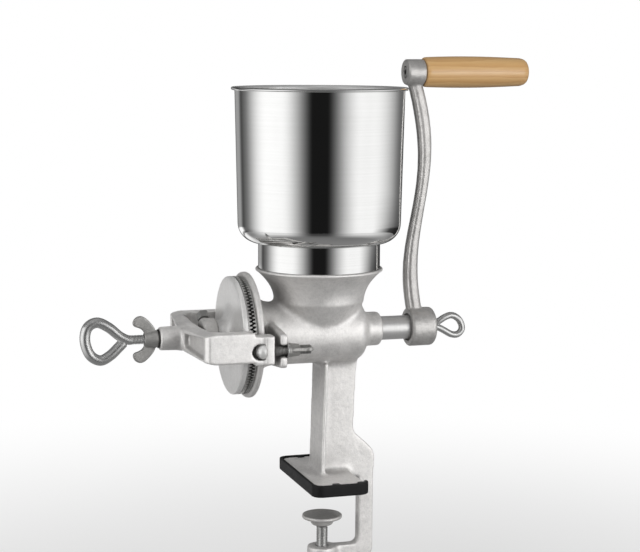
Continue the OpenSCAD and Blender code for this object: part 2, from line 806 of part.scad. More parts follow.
// turned wooden grip that spins on its bolt
module grip() {
    x0 = eye_x1;
    r = grip_d / 2;
    n = 14;
    color([0.78, 0.56, 0.32])
        translate([0, 0, crank_len]) on_shaft()
            rotate_extrude()
                polygon(concat([[pin_r + 0.08, x0], [r * 0.88, x0]],
                    [for (i = [0:n])
                        let (u = i / n)
                        [r * (0.86 + 0.14 * sin(40 + 125 * u)), x0 + 2 + (grip_len - 8) * u]],
                    [[r * 0.76, x0 + grip_len - 2], [r * 0.64, x0 + grip_len]],
                    [[7.6, x0 + grip_len], [7.6, x0 + grip_len - 9], [pin_r + 0.08, x0 + grip_len - 9]]));
}

module grip_bolt() {
    color([0.66, 0.66, 0.66])
        translate([0, 0, crank_len])
            difference() {
                on_shaft()
                    rotate_extrude()
                        polygon([[0, eye_x0 + 0.1], [4.2, eye_x0 + 0.1], [4.7, eye_x0 + 0.6],
                            [4.7, eye_x0 + head_deep], [pin_r, eye_x0 + head_deep],
                            [pin_r, eye_x1 + grip_len - 2], [0, eye_x1 + grip_len - 2]]);
                on_shaft() translate([0, 0, eye_x0 - 1]) cylinder(r = 2.6, h = 4, $fn = 6);
            }
}

module grip_washer() {
    color([0.7, 0.7, 0.7])
        translate([eye_x1 + grip_len - 9, 0, grip_z]) flat_washer(pin_r + 0.1, 7, 1.2);
}

module grip_nut() {
    color([0.35, 0.35, 0.35])
        translate([0, 0, crank_len]) on_shaft()
            translate([0, 0, eye_x1 + grip_len - 7.8])
                difference() {
                    cylinder(r = 6, h = 5, $fn = 6);
                    translate([0, 0, -1]) cylinder(r = pin_r + 0.05, h = 7);
                }
}

// clamp screw with a rod eye to turn it, its plain tip in the pad
module clamp_screw() {
    top = -jaw_gap - tip_deep;
    foot = -frame_open - arm_h - 2 - clamp_show;
    color([0.7, 0.7, 0.7])
        union() {
            translate([clamp_x, 0, foot - 4]) cylinder(r = clamp_r, h = top - 6 - foot + 4);
            translate([clamp_x, 0, top - 7]) cylinder(r = tip_r, h = 7);
            translate([clamp_x, 0, foot]) rotate([0, -90, 0]) rod_eye(clamp_eye, clamp_eye, 4);
        }
}

// round pad that swivels on the screw's tip and bears upward against what is clamped
module clamp_pad() {
    color([0.68, 0.68, 0.67])
        translate([clamp_x, 0, -jaw_gap - pad_h])
            rotate_extrude()
                polygon([[tip_r + loose, 0], [8.5, 0], [9.5, 1.2], [10.5, 4], [17, 6], [17.5, 6.6],
                    [17.5, pad_h - 0.6], [16.9, pad_h], [0, pad_h], [0, pad_h - tip_deep],
                    [tip_r + loose, pad_h - tip_deep]]);
}

mill_body();
rubber_foot();
hopper_cup();
hopper_collar();
fixed_burr();
fixed_burr_screws();
auger();
moving_burr();
moving_burr_screws();
burr_carrier();
drive_collar();
set_screw();
thrust_ball();
adjusting_screw();
lock_washer();
lock_nut();
yoke();
yoke_bolts();
front_washer();
front_wing_nut();
rear_washer();
rear_wing_nut();
crank_arm();
crank_screw();
grip();
grip_bolt();
grip_washer();
grip_nut();
clamp_screw();
clamp_pad();
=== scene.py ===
import math

import bmesh
import bpy
import numpy as np
from mathutils import Matrix, Vector, noise

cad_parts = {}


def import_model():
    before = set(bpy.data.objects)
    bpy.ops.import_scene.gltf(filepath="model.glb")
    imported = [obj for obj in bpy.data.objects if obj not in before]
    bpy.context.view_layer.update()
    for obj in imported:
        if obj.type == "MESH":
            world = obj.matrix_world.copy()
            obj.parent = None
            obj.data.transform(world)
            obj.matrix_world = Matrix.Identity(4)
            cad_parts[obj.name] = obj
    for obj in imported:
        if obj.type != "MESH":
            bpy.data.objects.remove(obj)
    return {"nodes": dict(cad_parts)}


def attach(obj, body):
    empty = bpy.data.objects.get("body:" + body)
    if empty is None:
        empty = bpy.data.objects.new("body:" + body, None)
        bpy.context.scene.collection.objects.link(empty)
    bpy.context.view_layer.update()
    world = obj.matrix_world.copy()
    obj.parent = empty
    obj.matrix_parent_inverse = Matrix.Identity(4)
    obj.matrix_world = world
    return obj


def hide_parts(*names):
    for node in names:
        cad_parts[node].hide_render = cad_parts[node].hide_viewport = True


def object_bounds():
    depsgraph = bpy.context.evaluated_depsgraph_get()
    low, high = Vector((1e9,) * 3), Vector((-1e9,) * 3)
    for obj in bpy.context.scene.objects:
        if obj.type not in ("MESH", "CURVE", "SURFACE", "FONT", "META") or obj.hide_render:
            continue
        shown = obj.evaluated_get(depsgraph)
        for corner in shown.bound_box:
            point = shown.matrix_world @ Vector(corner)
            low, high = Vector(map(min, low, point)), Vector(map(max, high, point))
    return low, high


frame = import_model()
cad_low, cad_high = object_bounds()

MM = 0.001
NODES = frame["nodes"]

# Stations along the shaft, in millimetres, as the solids have them
LOCK_X = -141.1
STEM_END = -91.5
CARRIER_X0 = -79.5
CARRIER_X1 = -75.1
FLANGE_X0 = -67.7
WALL_X0 = -65.7
LUG_X1 = -47.6
CLAMP_X = 4.0
GRIP_X0 = 93.0

# Heights and the yoke bolts' place
AXIS_Z = 132.0
GRIP_Z = 353.0
BOLT_Y = 62.6
BOLT_Z = 128.5
LEDGE_Z = 185.0
SEAT_TOP = 187.5
CUP_Z = 209.5
CUP_TOP = 340.5

# Radii, lengths and walls
BURR_R = 50.0
BURR_HOLE_R = 24.0
CARRIER_HOLE_R = 8.1
CUP_LOW_R = 69.5
CUP_TOP_R = 72.0
CUP_CORNER = 16.5
CUP_HOLE_R = 50.0
COLLAR_R = 52.0
SHEET = 1.0
GRIP_R = 13.5
GRIP_LEN = 95.0
GRIP_HOLE_R = 3.6
GRIP_HOLLOW_R = 7.6
GRIP_HOLLOW = 9.0
BALL_R = 3.96
BOLT_R = 4.0
BOLT_HEAD_R = 6.6
WASHER_HOLE_R = 4.4


# Mesh tools

def link(name, me):
    ob = bpy.data.objects.new(name, me)
    bpy.context.scene.collection.objects.link(ob)
    return ob


def place(name, me, body, slot, material, *stands_for):
    """Puts a finished mesh into the scene: it rides on a body and may stand for solids."""
    ob = link(name, me)
    me.materials.clear()
    me.materials.append(material)
    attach(ob, body)
    if stands_for:
        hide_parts(*stands_for)
    return ob


def to_mesh(name, verts, faces, sharp=38.0):
    """Mesh of points in millimetres: welded, smooth, with edges sharper than an angle kept."""
    me = bpy.data.meshes.new(name)
    bm = bmesh.new()
    made = [bm.verts.new(Vector(v) * MM) for v in verts]
    for f in faces:
        if len(set(f)) == len(f):
            bm.faces.new([made[i] for i in f])
    bmesh.ops.remove_doubles(bm, verts=bm.verts, dist=1e-7)
    bmesh.ops.dissolve_degenerate(bm, dist=1e-8, edges=bm.edges)
    bmesh.ops.recalc_face_normals(bm, faces=bm.faces)
    edge_sharp(bm, sharp)
    bm.to_mesh(me)
    bm.free()
    return me


def edge_sharp(bm, angle):
    for f in bm.faces:
        f.smooth = True
    for e in bm.edges:
        if len(e.link_faces) == 2 and e.calc_face_angle(0.0) > math.radians(angle):
            e.smooth = False


class Build:
    """Collects rings of points into one mesh."""

    def __init__(self):
        self.verts, self.faces = [], []

    def rings(self, rings, loop=False, caps=True):
        start, m, n = len(self.verts), len(rings[0]), len(rings)
        for ring in rings:
            self.verts.extend(ring)
        for i in range(n if loop else n - 1):
            a, b = start + i * m, start + (i + 1) % n * m
            for j in range(m):
                k = (j + 1) % m
                self.faces.append((a + j, a + k, b + k, b + j))
        if caps and not loop:
            self.faces.append(tuple(start + j for j in range(m)))
            self.faces.append(tuple(start + (n - 1) * m + j for j in reversed(range(m))))
        return self

    def lathe(self, outline, base, segments=64, loop=True):
        """Turns (radius, station) points about the base's Z axis."""
        rings = []
        for r, s in outline:
            rings.append([base @ Vector((r * math.cos(t), r * math.sin(t), s))
                          for t in np.linspace(0, 2 * math.pi, segments, endpoint=False)])
        return self.rings(rings, loop=loop, caps=not loop)

    def thread(self, r, depth, pitch, s0, s1, base, fade0=1.0, fade1=1.0, sides=28, per_turn=7):
        """Right-hand screw thread from station s0 to s1 of the base's Z axis, faded at its ends."""
        count = max(8, int((s1 - s0) / pitch * per_turn))
        rings = []
        for s in np.linspace(s0, s1, count + 1):
            ring = []
            for t in np.linspace(0, 2 * math.pi, sides, endpoint=False):
                phase = abs(2 * ((s / pitch - t / (2 * math.pi)) % 1.0) - 1)
                groove = 1 - min(1.0, max(0.0, (phase - 0.12) / 0.7))
                near = min(1.0, (s - s0) / (fade0 * pitch + 1e-9))
                far = min(1.0, (s1 - s) / (fade1 * pitch + 1e-9))
                rad = r - depth * (groove * far if fade1 > 1 else groove)
                rad -= 0.8 * depth * (1 - near) + (0.8 * depth * (1 - far) if fade1 <= 1 else 0)
                ring.append(base @ Vector((rad * math.cos(t), rad * math.sin(t), s)))
            rings.append(ring)
        return self.rings(rings)

    def sweep(self, path, r, sides=22, end_round=True):
        """Round rod along a path, of one radius or one for each end; its last end is softly rounded."""
        pts = [Vector(p) for p in path]
        first, r = r if isinstance(r, tuple) else (r, r)
        tangents = []
        for i in range(len(pts)):
            a, b = pts[max(0, i - 1)], pts[min(len(pts) - 1, i + 1)]
            tangents.append((b - a).normalized())
        side = tangents[0].orthogonal().normalized()
        rings, stops = [], [(p, t, first + (r - first) * min(1.0, 3.0 * i / len(pts)))
                            for i, (p, t) in enumerate(zip(pts, tangents))]
        if end_round:
            p, t = pts[-1], tangents[-1]
            for k in (0.35, 0.65, 0.88, 0.99):
                stops.append((p + t * (r * 0.45 * k), t, r * math.sqrt(1 - k * k)))
        for p, t, rad in stops:
            side = (side - t * side.dot(t)).normalized()
            up = t.cross(side)
            rings.append([p + side * (rad * math.cos(a)) + up * (rad * math.sin(a))
                          for a in np.linspace(0, 2 * math.pi, sides, endpoint=False)])
        return self.rings(rings)

    def mesh(self, name, sharp=38.0):
        return to_mesh(name, self.verts, self.faces, sharp)


def spline(points, per=10):
    """Smooth line through points."""
    p = [Vector(q) for q in points]
    out = []
    for i in range(len(p) - 1):
        a, b, c, d = p[max(0, i - 1)], p[i], p[i + 1], p[min(len(p) - 1, i + 2)]
        for k in range(per):
            t = k / per
            out.append(0.5 * ((2 * b) + (c - a) * t + (2 * a - 5 * b + 4 * c - d) * t * t
                              + (3 * b - a - 3 * c + d) * t ** 3))
    out.append(p[-1])
    return out


def along_x(x=0.0, y=0.0, z=AXIS_Z):
    """Frame whose Z axis runs along +X of the mill."""
    return Matrix.Translation((x, y, z)) @ Matrix.Rotation(math.pi / 2, 4, "Y")


UPRIGHT = Matrix.Identity(4)


def arc(cx, cy, r, a0, a1, n):
    """Points on an arc from one angle to another, in degrees."""
    return [(cx + r * math.cos(math.radians(a0 + (a1 - a0) * i / n)),
             cy + r * math.sin(math.radians(a0 + (a1 - a0) * i / n))) for i in range(n + 1)]


def remeshed(sources, voxel):
    """Even quad skin over some meshes together."""
    bm = bmesh.new()
    for source in sources:
        bm.from_mesh(source)
    bmesh.ops.remove_doubles(bm, verts=bm.verts, dist=2e-6)
    me = bpy.data.meshes.new("skin_source")
    bm.to_mesh(me)
    bm.free()
    ob = link("skin_source", me)
    mod = ob.modifiers.new("skin", "REMESH")
    mod.mode, mod.voxel_size = "VOXEL", voxel * MM
    dg = bpy.context.evaluated_depsgraph_get()
    out = bpy.data.meshes.new_from_object(ob.evaluated_get(dg))
    bpy.data.objects.remove(ob)
    bpy.data.meshes.remove(me)
    return out


def cast_piece(name, nodes, body, slot, material, voxel, soften=4, fillet=20, rough=0.06, keep=None,
               faces=180000, drawn=None):
    """Cast skin over solids: edges softened, inner corners filled to fillets, a little uneven."""
    me = remeshed([drawn] if drawn else [NODES[n].data for n in nodes], voxel)
    n = len(me.vertices)
    co = np.empty(n * 3)
    me.vertices.foreach_get("co", co)
    co = co.reshape(-1, 3)
    ed = np.empty(len(me.edges) * 2, np.int64)
    me.edges.foreach_get("vertices", ed)
    a, b = ed.reshape(-1, 2).T
    deg = np.maximum(np.bincount(np.r_[a, b], minlength=n), 1)
    free = np.ones(n) if keep is None else 1.0 - keep(co / MM).astype(float)
    nor = np.empty(n * 3)

    def normals():
        me.vertices.foreach_set("co", co.ravel())
        me.update()
        me.vertices.foreach_get("normal", nor)
        return nor.reshape(-1, 3)

    for i in range(soften + fillet):
        mean = np.stack([(np.bincount(a, co[b, k], n) + np.bincount(b, co[a, k], n)) / deg
                         for k in range(3)], 1)
        step = mean - co
        if i < soften:
            w = 0.5 * (0.35 + 0.65 * free)
        else:
            hollow = (step * normals()).sum(1) > 0
            w = np.where(hollow, 0.5, 0.04) * free
        co = co + step * w[:, None]
    v = normals()
    bumps = np.array([noise.noise(Vector(p) * 260.0) + 0.6 * noise.noise(Vector(p) * 90.0) for p in co])
    co = co + v * (bumps * rough * MM * free)[:, None]
    normals()
    for p in me.polygons:
        p.use_smooth = True
    if 2 * len(me.polygons) > faces:
        ob = link("thin", me)
        mod = ob.modifiers.new("thin", "DECIMATE")
        mod.ratio = faces / (2.0 * len(me.polygons))
        dg = bpy.context.evaluated_depsgraph_get()
        me = bpy.data.meshes.new_from_object(ob.evaluated_get(dg))
        bpy.data.objects.remove(ob)
    me.name = name
    return place(name, me, body, slot, material, *nodes)


# Materials

class Paint:
    """A node material round one Principled shader, in the piece's own coordinates."""

    def __init__(self, name, **sockets):
        self.m = bpy.data.materials.new(name)
        self.m.use_nodes = True
        self.nt = self.m.node_tree
        self.b = self.nt.nodes["Principled BSDF"]
        for k, v in sockets.items():
            self.b.inputs[k.replace("_", " ")].default_value = v
        self.place = self.node("TexCoord").outputs["Object"]

    def node(self, kind, props=None, **inputs):
        n = self.nt.nodes.new("ShaderNode" + kind)
        for k, v in (props or {}).items():
            setattr(n, k, v)
        for k, v in inputs.items():
            key = int(k[1:]) if k[0] == "i" and k[1:].isdigit() else k.replace("_", " ")
            if isinstance(v, bpy.types.NodeSocket):
                self.nt.links.new(v, n.inputs[key])
            else:
                n.inputs[key].default_value = v
        return n

    def stretched(self, x, y, z):
        return self.node("Mapping", Vector=self.place, Scale=(x, y, z)).outputs[0]

    def noise(self, scale, detail=3.0, rough=0.55, at=None, distortion=0.0):
        return self.node("TexNoise", Vector=at or self.place, Scale=scale, Detail=detail,
                         Roughness=rough, Distortion=distortion).outputs["Fac"]

    def cells(self, scale, at=None):
        return self.node("TexVoronoi", Vector=at or self.place, Scale=scale).outputs["Distance"]

    def ramp(self, fac, *stops):
        n = self.node("ValToRGB", Fac=fac)
        el = n.color_ramp.elements
        while len(el) < len(stops):
            el.new(0.5)
        for e, (p, c) in zip(el, stops):
            e.position = p
            e.color = (*((c,) * 3 if isinstance(c, float) else c), 1.0)
        return n.outputs["Color"]

    def span(self, fac, lo, hi, a, b, soft=False):
        kind = {"interpolation_type": "SMOOTHSTEP" if soft else "LINEAR"}
        n = self.node("MapRange", kind, Value=fac, From_Min=lo, From_Max=hi, To_Min=a, To_Max=b)
        return n.outputs[0]

    def math(self, op, x, y=0.0):
        return self.node("Math", {"operation": op}, i0=x, i1=y).outputs[0]

    def mix(self, fac, a, b, how="MIX"):
        n = self.node("Mix", {"data_type": "RGBA", "blend_type": how})
        for i, v in ((0, fac), (6, a), (7, b)):
            if isinstance(v, bpy.types.NodeSocket):
                self.nt.links.new(v, n.inputs[i])
            else:
                n.inputs[i].default_value = (*v, 1.0) if isinstance(v, tuple) else v
        return n.outputs[2]

    def edges(self, lo, hi):
        """0 on flats and 1 on convex edges."""
        return self.span(self.node("NewGeometry").outputs["Pointiness"], lo, hi, 0.0, 1.0)

    def distance(self):
        """Distance from the piece's own origin."""
        return self.node("VectorMath", {"operation": "LENGTH"}, i0=self.place).outputs["Value"]

    def to(self, socket, value):
        self.nt.links.new(value, self.b.inputs[socket])

    def show(self, shader):
        self.nt.links.new(shader, self.nt.nodes["Material Output"].inputs["Surface"])

    def bump(self, *layers):
        """Stacked bumps of (height, strength, distance in mm)."""
        last = None
        for h, strength, depth in layers:
            n = self.node("Bump", Height=h, Strength=strength, Distance=depth * MM)
            if last:
                self.nt.links.new(last, n.inputs["Normal"])
            last = n.outputs[0]
        self.to("Normal", last)


def cast_metal(name, dark, light, rough0, rough1, grain=1.0, metal=0.9):
    """Tinned sand casting: mottled, grainy, brighter where edges are rubbed, with painted shade in corners
    and hollows.
    """
    p = Paint(name, Metallic=metal)
    blotch = p.noise(60.0, 4.0, 0.6)
    sand = p.noise(330.0, 3.0, 0.6)
    fine = p.noise(1100.0, 3.0, 0.65)
    pits = p.ramp(p.cells(420.0), (0.0, 0.0), (0.2, 1.0))
    mottle = p.math("ADD", p.math("MULTIPLY", blotch, 0.55), p.math("MULTIPLY", sand, 0.45))
    tone = p.ramp(mottle, (0.36, dark), (0.62, light))
    tone = p.mix(p.span(fine, 0.42, 0.68, 0.0, 0.45), tone, tuple(min(1.0, 1.15 * c) for c in light))
    point = p.node("NewGeometry").outputs["Pointiness"]
    # painted shade: darker in concave corners and creases
    tone = p.mix(p.span(point, 0.40, 0.485, 0.6, 0.0), tone, tuple(0.4 * c for c in dark))
    tone = p.mix(p.span(point, 0.515, 0.6, 0.0, 0.7), tone, tuple(min(1.0, 1.2 * c) for c in light))
    # painted shade: darker where the surface is hemmed in, as contact shadow in recesses and between parts
    painted_shade_ao = p.node("AmbientOcclusion", {"samples": 6}, Distance=0.03).outputs["AO"]
    tone = p.mix(p.span(painted_shade_ao, 0.3, 0.85, 0.65, 0.0), tone, tuple(0.3 * c for c in dark))
    p.to("Base Color", tone)
    p.to("Roughness", p.span(p.math("ADD", fine, blotch), 0.7, 1.3, rough0, rough1))
    p.bump((blotch, 0.3, 0.9), (sand, 0.4 * grain, 0.4), (fine, 0.4 * grain, 0.16),
           (pits, 0.25 * grain, 0.15))
    return p.m


def turned_metal(name, dark, light, rough0, rough1, lines, axis="X", wear=0.3, metal=1.0, strength=0.12,
                 corners=True):
    """Machined or drawn steel with fine lines round it and light scuffs; with corners on, painted shade in
    its hollows and lighter convex edges.
    """
    p = Paint(name, Metallic=metal)
    scale = {"X": (1.0, 0.03, 0.03), "Z": (0.03, 0.03, 1.0), "N": (1.0, 1.0, 1.0)}[axis]
    ring = p.noise(lines, 3.0, 0.6, p.stretched(*scale))
    cloud = p.noise(90.0, 4.0, 0.6)
    scuff = p.ramp(p.noise(260.0, 5.0, 0.7, distortion=1.5), (0.52, 0.0), (0.66, 1.0))
    tone = p.ramp(ring, (0.3, dark), (0.7, light))
    tone = p.mix(p.span(cloud, 0.3, 0.7, 0.0, 0.45), tone, dark)
    tone = p.mix(p.span(scuff, 0.0, 1.0, 0.0, wear), tone, tuple(0.6 * c for c in dark))
    # painted shade: darker in concave corners and thread roots; convex edges lighter
    if corners:
        tone = p.mix(p.edges(0.485, 0.40), tone, tuple(0.35 * c for c in dark))
        tone = p.mix(p.edges(0.53, 0.66), tone, tuple(min(1.0, 1.12 * c) for c in light))
    p.to("Base Color", tone)
    p.to("Roughness", p.span(p.math("ADD", ring, cloud), 0.7, 1.3, rough0, rough1))
    p.bump((ring, strength, 0.05), (scuff, 0.25 * wear, 0.03))
    return p.m


def mirror_steel(name):
    """Stainless sheet: a mirror outside with faint lines and a trace of smears, and satin inside."""
    p = Paint(name)
    flat = p.node("VectorMath", {"operation": "MULTIPLY"}, i0=p.place, i1=(1.0, 1.0, 0.0)).outputs["Vector"]
    normal = p.node("NewGeometry").outputs["Normal"]
    outward = p.node("VectorMath", {"operation": "DOT_PRODUCT"}, i0=flat, i1=normal).outputs["Value"]
    inner = p.span(outward, -0.002, -0.03, 0.0, 1.0)
    p.to("Metallic", p.span(inner, 0.0, 1.0, 1.0, 0.7))
    lines = p.noise(900.0, 2.0, 0.5, p.stretched(0.01, 0.01, 1.0))
    smear = p.noise(14.0, 4.0, 0.6, p.stretched(1.0, 1.0, 0.35))
    cloud = p.math("ADD", p.math("MULTIPLY", lines, 0.3), p.math("MULTIPLY", smear, 0.7))
    p.to("Base Color", p.ramp(cloud, (0.3, (0.80, 0.80, 0.79)), (0.7, (0.88, 0.88, 0.875))))
    p.to("Roughness", p.math("ADD", p.span(smear, 0.3, 0.7, 0.03, 0.075), p.math("MULTIPLY", inner, 0.27)))
    p.bump((lines, 0.015, 0.02))
    return p.m


def honey_wood(name):
    """Varnished turned wood, grain along the grip."""
    p = Paint(name, Coat_Weight=0.35, Coat_Roughness=0.18)
    wander = p.noise(22.0, 3.0, 0.5, p.stretched(0.25, 1.0, 1.0))
    long = p.stretched(0.06, 1.0, 1.0)
    fibre = p.noise(900.0, 4.0, 0.6, long)
    ring = p.node("TexWave", {"wave_type": "RINGS", "rings_direction": "X", "wave_profile": "SAW"},
                  Vector=p.stretched(0.12, 1.0, 0.72), Scale=95.0, Distortion=5.0, Detail=3.0,
                  Detail_Scale=1.2).outputs["Fac"]
    tone = p.ramp(ring, (0.05, (0.60, 0.335, 0.13)), (0.5, (0.68, 0.405, 0.165)), (0.95, (0.71, 0.45, 0.195)))
    tone = p.mix(p.span(fibre, 0.35, 0.7, 0.0, 0.18), tone, (0.50, 0.25, 0.085))
    tone = p.mix(p.span(wander, 0.35, 0.7, 0.0, 0.3), tone, (0.80, 0.54, 0.25))
    p.to("Base Color", tone)
    p.to("Roughness", p.span(fibre, 0.3, 0.7, 0.34, 0.5))
    p.bump((fibre, 0.25, 0.12), (ring, 0.08, 0.1))
    return p.m


def black_rubber(name):
    """Moulded rubber, fine-grained, with a little dust and paler edges."""
    p = Paint(name, Specular_IOR_Level=0.22)
    grain = p.noise(1500.0, 3.0, 0.6)
    dust = p.noise(80.0, 5.0, 0.65)
    tone = p.ramp(dust, (0.35, (0.004, 0.004, 0.0043)), (0.75, (0.010, 0.010, 0.0106)))
    p.to("Base Color", p.mix(p.edges(0.52, 0.62), tone, (0.02, 0.02, 0.0208)))
    p.to("Roughness", p.span(p.math("ADD", dust, grain), 0.7, 1.3, 0.46, 0.64))
    p.bump((grain, 0.3, 0.08))
    return p.m


# Castings: darkest and lightest colour, lowest and highest roughness
CAST = cast_metal("cast_grey", (0.64, 0.628, 0.615), (0.80, 0.785, 0.77), 0.46, 0.6, metal=0.62)
CAST_CRANK = cast_metal("cast_crank", (0.42, 0.41, 0.398), (0.57, 0.557, 0.543), 0.36, 0.5, metal=0.65)
CAST_FINE = cast_metal("cast_fine", (0.69, 0.678, 0.665), (0.83, 0.816, 0.80), 0.42, 0.56, 0.6, 0.62)
# lighter copy of the casting for the burr carrier: partly its smoother turned face, partly painted light on
# the disc
CAST_DISC_LIT = cast_metal("cast_disc", (0.80, 0.79, 0.775), (0.90, 0.89, 0.875), 0.32, 0.42, 0.4, 0.5)
CAST_ROUGH = cast_metal("cast_rough", (0.50, 0.49, 0.475), (0.66, 0.647, 0.63), 0.38, 0.55, 1.5, 0.5)
NUT = cast_metal("nut_grey", (0.30, 0.295, 0.285), (0.42, 0.414, 0.40), 0.4, 0.55, 0.5, 0.7)

# Steels: the same, then the fineness and direction of their lines
BURR = turned_metal("burr_iron", (0.40, 0.395, 0.385), (0.60, 0.595, 0.58), 0.3, 0.45, 500.0, "N")
DARK = turned_metal("dark_steel", (0.055, 0.053, 0.05), (0.12, 0.117, 0.112), 0.32, 0.5, 600.0, "N", 0.5)
TURNED = turned_metal("turned_steel", (0.66, 0.655, 0.65), (0.72, 0.715, 0.71), 0.34, 0.42, 900.0, "X", 0.06,
                      metal=0.7, strength=0.02, corners=False)
BRIGHT = turned_metal("bright_zinc", (0.62, 0.62, 0.615), (0.66, 0.66, 0.65), 0.22, 0.26, 700.0, "N", 0.02,
                      metal=0.9, strength=0.002, corners=False)
# lighter steel for the yoke bolts' heads: painted light against the shade of their pockets
LIT_HEAD = turned_metal("head_zinc_painted_light", (0.76, 0.755, 0.745), (0.86, 0.855, 0.845), 0.36, 0.46, 500.0, "N", 0.05,
                    metal=0.5, strength=0.03, corners=False)
# darker steel; on the yoke bolts' studs this darkness is painted shade
BOLT = turned_metal("bolt_steel", (0.30, 0.297, 0.29), (0.44, 0.435, 0.425), 0.3, 0.42, 500.0, "N", 0.2,
                    metal=0.85)

STEEL = mirror_steel("mirror_steel")
WOOD = honey_wood("honey_wood")
RUBBER = black_rubber("black_rubber")


# Castings

def body_keep(p):
    """Where the casting is bored or seated, and stays true."""
    shaft = np.hypot(p[:, 1], p[:, 2] - AXIS_Z)
    bore = (shaft < 24.6) & (p[:, 0] < 33) & (np.abs(p[:, 2] - AXIS_Z) < 24.6)
    bearing = (shaft < 12.5) & (p[:, 0] > 27)
    seat = (np.hypot(p[:, 0], p[:, 1]) < 53.2) & (p[:, 2] > 184)
    clamp = (np.hypot(p[:, 0] - CLAMP_X, p[:, 1]) < 7.0) & (p[:, 2] < -50)
    return bore | bearing | seat | clamp


def yoke_keep(p):
    thread = np.hypot(p[:, 1], p[:, 2] - AXIS_Z) < 6.0
    bolts = (np.hypot(np.abs(p[:, 1]) - BOLT_Y, p[:, 2] - BOLT_Z) < 5.5) & (p[:, 0] > WALL_X0 - 0.5)
    return thread | bolts


def crank_keep(p):
    low = (np.hypot(p[:, 1], p[:, 2] - AXIS_Z) < 12.8) & (p[:, 0] < 101)
    high = np.hypot(p[:, 1], p[:, 2] - GRIP_Z) < 6.6
    return low | high


cast_piece("mill_casting", ["mill_body"], "frame", "cast_grey", CAST, 1.0, soften=3, fillet=60,
           keep=body_keep)
cast_piece("yoke_casting", ["yoke"], "frame", "cast_grey", CAST_FINE, 0.8, soften=3, fillet=10, rough=0.05,
           keep=yoke_keep)
cast_piece("crank_casting", ["crank_arm"], "crank", "cast_grey", CAST_CRANK, 0.75, soften=2, fillet=12,
           keep=crank_keep)
cast_piece("collar_casting", ["drive_collar"], "rotor", "cast_grey", CAST_ROUGH, 0.5, soften=4, fillet=2,
           rough=0.16, keep=lambda p: np.hypot(p[:, 1], p[:, 2] - AXIS_Z) < 8.0)
cast_piece("pad_casting", ["clamp_pad"], "pad", "cast_grey", CAST_ROUGH, 0.6, soften=3, fillet=6,
           keep=lambda p: np.hypot(p[:, 0] - CLAMP_X, p[:, 1]) < 5.0)


def lock_nut():
    """Wing nut with broad leaf-shaped ears, its seat toward the crank."""
    b = Build()
    b.lathe([(4.06, 0.0), (7.2, 0.0), (7.2, 1.5), (6.4, 7.0), (5.6, 11.3), (4.06, 11.5)],
            along_x(LOCK_X) @ Matrix.Rotation(math.pi, 4, "X"), 48)
    leaf = [(2.0, 4.4), (2.2, 8.6), (4.6, 12.4), (8.4, 16.6), (12.4, 19.3), (16.2, 19.5), (19.4, 17.4),
            (20.9, 13.8), (19.6, 11.2), (16.2, 9.9), (13.0, 8.0), (10.6, 4.4)]
    for way in (1, -1):
        line = spline([(x, 0, z) for x, z in leaf], 4)[:-1]
        mid = sum(line, Vector()) / len(line)
        rings = [[Vector((LOCK_X - v.x, y, AXIS_Z + way * v.z)) for v in (mid + (q - mid) * k for q in line)]
                 for y, k in ((-1.8, 0.9), (-1.3, 1.0), (1.3, 1.0), (1.8, 0.9))]
        b.rings(rings)
    return b.mesh("lock_nut_source")


cast_piece("lock_wing_nut", ["lock_nut"], "lock_wing", "nut_grey", NUT, 0.4, soften=3, fillet=14, rough=0.03,
           keep=lambda p: np.hypot(p[:, 1], p[:, 2] - AXIS_Z) < 4.8, drawn=lock_nut())
for side, y in (("front", -BOLT_Y), ("rear", BOLT_Y)):
    cast_piece(side + "_nut_casting", [side + "_wing_nut"], side + "_wing", "nut_grey", NUT, 0.4, soften=6,
               fillet=8, rough=0.03, keep=lambda p, y=y: np.hypot(p[:, 1] - y, p[:, 2] - BOLT_Z) < 4.8)
cast_piece("rubber_boot", ["rubber_foot"], "frame", "black_rubber", RUBBER, 0.6, soften=5, fillet=2,
           rough=0.02)
cast_piece("set_bolt", ["set_screw"], "rotor", "dark_steel", BOLT, 0.3, soften=3, fillet=2, rough=0.02)


# Sheet-steel hopper

def hopper_cup():
    """Spun cup with a round bottom corner, a slight taper and a rolled rim, open in its floor."""
    mid_r, mid_z = CUP_LOW_R - CUP_CORNER, CUP_Z + CUP_CORNER
    outer = arc(mid_r, mid_z, CUP_CORNER, 270, 360, 18)
    wall = [(CUP_LOW_R + (CUP_TOP_R - CUP_LOW_R) * k, mid_z + (CUP_TOP - 2.0 - mid_z) * k)
            for k in np.linspace(0.04, 0.985, 24)]
    rim = [(72.3, CUP_TOP - 1.8), (72.75, CUP_TOP - 1.9)] + arc(73.7, CUP_TOP - 1.3, 1.3, 220, 450, 16)
    inner = [(72.6, CUP_TOP - 0.12), (71.6, CUP_TOP - 0.5), (71.1, CUP_TOP - 1.6)]
    inner += [(r - SHEET, z) for r, z in reversed(wall)]
    inner += arc(mid_r, mid_z, CUP_CORNER - SHEET, 360, 270, 18)
    lip = [(CUP_HOLE_R + 0.4, CUP_Z + SHEET), (CUP_HOLE_R, CUP_Z + 0.5), (CUP_HOLE_R + 0.4, CUP_Z)]
    me = Build().lathe(outer + wall + rim + inner + lip, UPRIGHT, 224).mesh("hopper_cup_sheet", 60)
    place("hopper_cup_sheet", me, "hopper", "stainless", STEEL, "hopper_cup")


def hopper_collar():
    """Round collar under the cup, its lower edge broken."""
    top, r0 = CUP_Z - 0.02, COLLAR_R - SHEET
    ring = [(COLLAR_R, LEDGE_Z + 0.4)]
    ring += [(COLLAR_R, z) for z in np.linspace(LEDGE_Z + 0.9, top - 0.6, 12)]
    ring += [(COLLAR_R, top), (r0, top), (r0, LEDGE_Z + 0.4), (r0 + 0.2, LEDGE_Z), (COLLAR_R - 0.2, LEDGE_Z)]
    me = Build().lathe(ring, UPRIGHT, 192).mesh("hopper_collar_sheet", 40)
    place("hopper_collar_sheet", me, "hopper", "stainless", STEEL, "hopper_collar")


